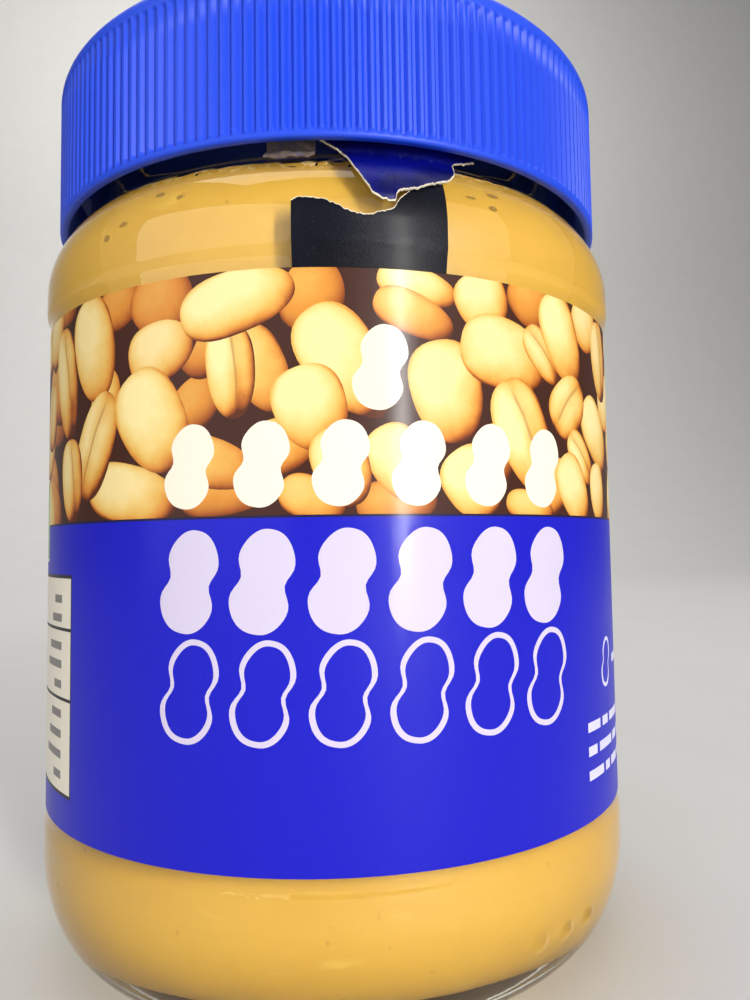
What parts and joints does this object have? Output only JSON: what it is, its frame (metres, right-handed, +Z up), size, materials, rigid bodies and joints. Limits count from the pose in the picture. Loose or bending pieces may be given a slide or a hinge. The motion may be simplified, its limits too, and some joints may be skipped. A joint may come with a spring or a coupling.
{
  "type": "peanut butter jar",
  "caption": "Round glass jar of peanut butter with a ribbed blue screw lid, a wrap-around paper label and a torn paper seal under the lid.",
  "frame": {"origin": "centre of the base's underside, on the plane the jar stands on", "axes": "+Z up along the jar's axis; the label's middle faces -Y"},
  "size_m": [0.0756, 0.0758, 0.1077],
  "materials": {
    "glass": "clear moulded glass",
    "lid": "bright blue moulded plastic with a satin gloss",
    "filling": "smooth, oily tan paste",
    "label": "printed and varnished paper",
    "seal_dark": "dark navy paper with a grainy varnish",
    "seal_blue": "glossy blue paper with a white torn edge"
  },
  "bodies": {
    "root": {"jar": "glass", "lid": "lid", "peanut_butter": "filling", "label": "label", "seal_strip": "seal_dark", "seal_flap": "seal_blue"}
  },
  "joints": []
}
